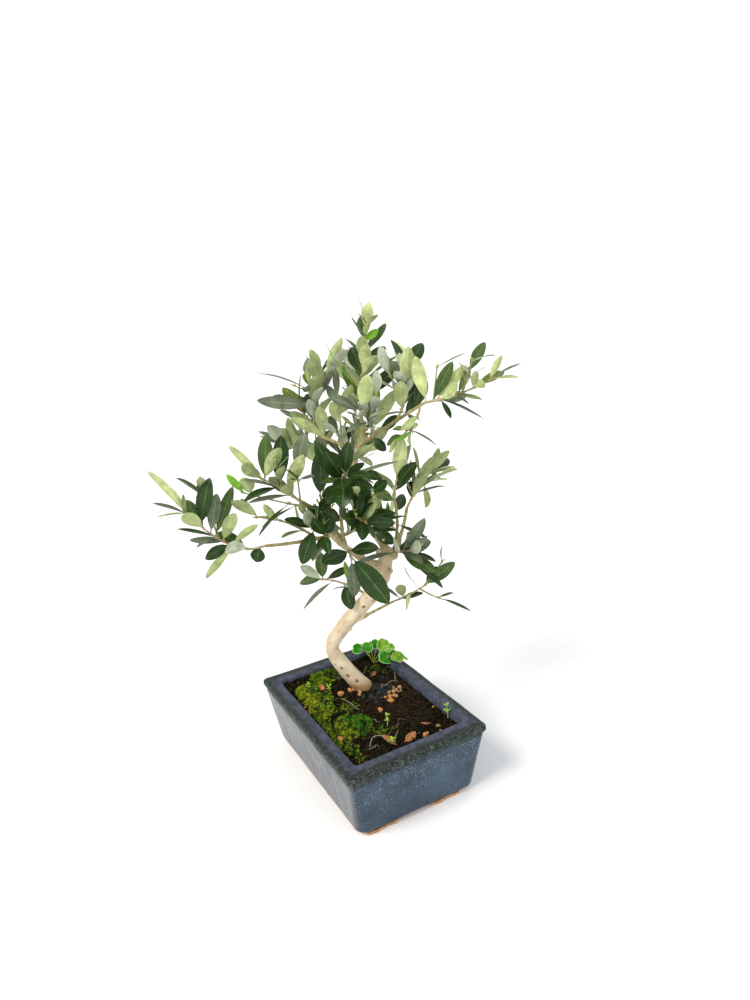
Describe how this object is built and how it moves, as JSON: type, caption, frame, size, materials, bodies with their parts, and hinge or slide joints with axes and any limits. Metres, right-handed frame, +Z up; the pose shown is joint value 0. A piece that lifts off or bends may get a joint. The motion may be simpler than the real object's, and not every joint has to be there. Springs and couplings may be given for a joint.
{
  "type": "olive bonsai with its pot",
  "caption": "Olive bonsai with a bent, pale trunk and an open crown of paired leathery leaves, in a low rectangular glazed pot on small feet, with soil and moss.",
  "frame": {"origin": "middle of the recessed flat panel under the pot, 3.2 mm above what the feet stand on", "axes": "+Z up; the pot's short side faces -Y and its long sides face -X and +X"},
  "size_m": [0.2368, 0.1783, 0.3317],
  "materials": {
    "glaze": "blue-grey speckled glaze, glossy",
    "clay": "bare fired clay, matt",
    "soil": "dark fibrous potting mix",
    "moss": "bright green moss",
    "bark": "pale smooth bark with dark scars",
    "leaves": "dark leathery upper sides, pale matt undersides"
  },
  "bodies": {
    "root": {"pot": "glaze", "foot_front_left": "clay", "foot_front_right": "clay", "foot_back_left": "clay", "foot_back_right": "clay", "soil": "soil", "moss_left": "moss", "moss_front": "moss", "moss_back": "moss", "sprig_back": "leaves", "trunk": "bark", "bough_left": "bark", "bough_far_left": "bark", "bough_left_middle": "bark", "bough_front": "bark", "bough_leader": "bark", "bough_upper_left": "bark", "bough_right_top": "bark", "bough_apex": "bark", "bough_right_inner": "bark", "bough_low_right": "bark", "bough_back_left": "bark", "bough_back_right": "bark", "bough_back_top": "bark", "foliage_far_left": "leaves", "foliage_left_shoot": "leaves", "foliage_left_tip": "leaves", "foliage_left_under": "leaves", "foliage_front": "leaves", "foliage_front_low": "leaves", "foliage_upper_left": "leaves", "foliage_upper_far": "leaves", "foliage_apex": "leaves", "foliage_crown_front": "leaves", "foliage_crown_right": "leaves", "foliage_right_tip": "leaves", "foliage_right_side": "leaves", "foliage_right_inner": "leaves", "foliage_low_centre": "leaves", "foliage_trunk_front": "leaves", "foliage_low_left": "leaves", "foliage_low_right": "leaves", "foliage_back_left": "leaves", "foliage_back_right": "leaves", "foliage_back_top": "leaves", "foliage_back_low": "leaves", "foliage_back_centre": "leaves"}
  },
  "joints": []
}
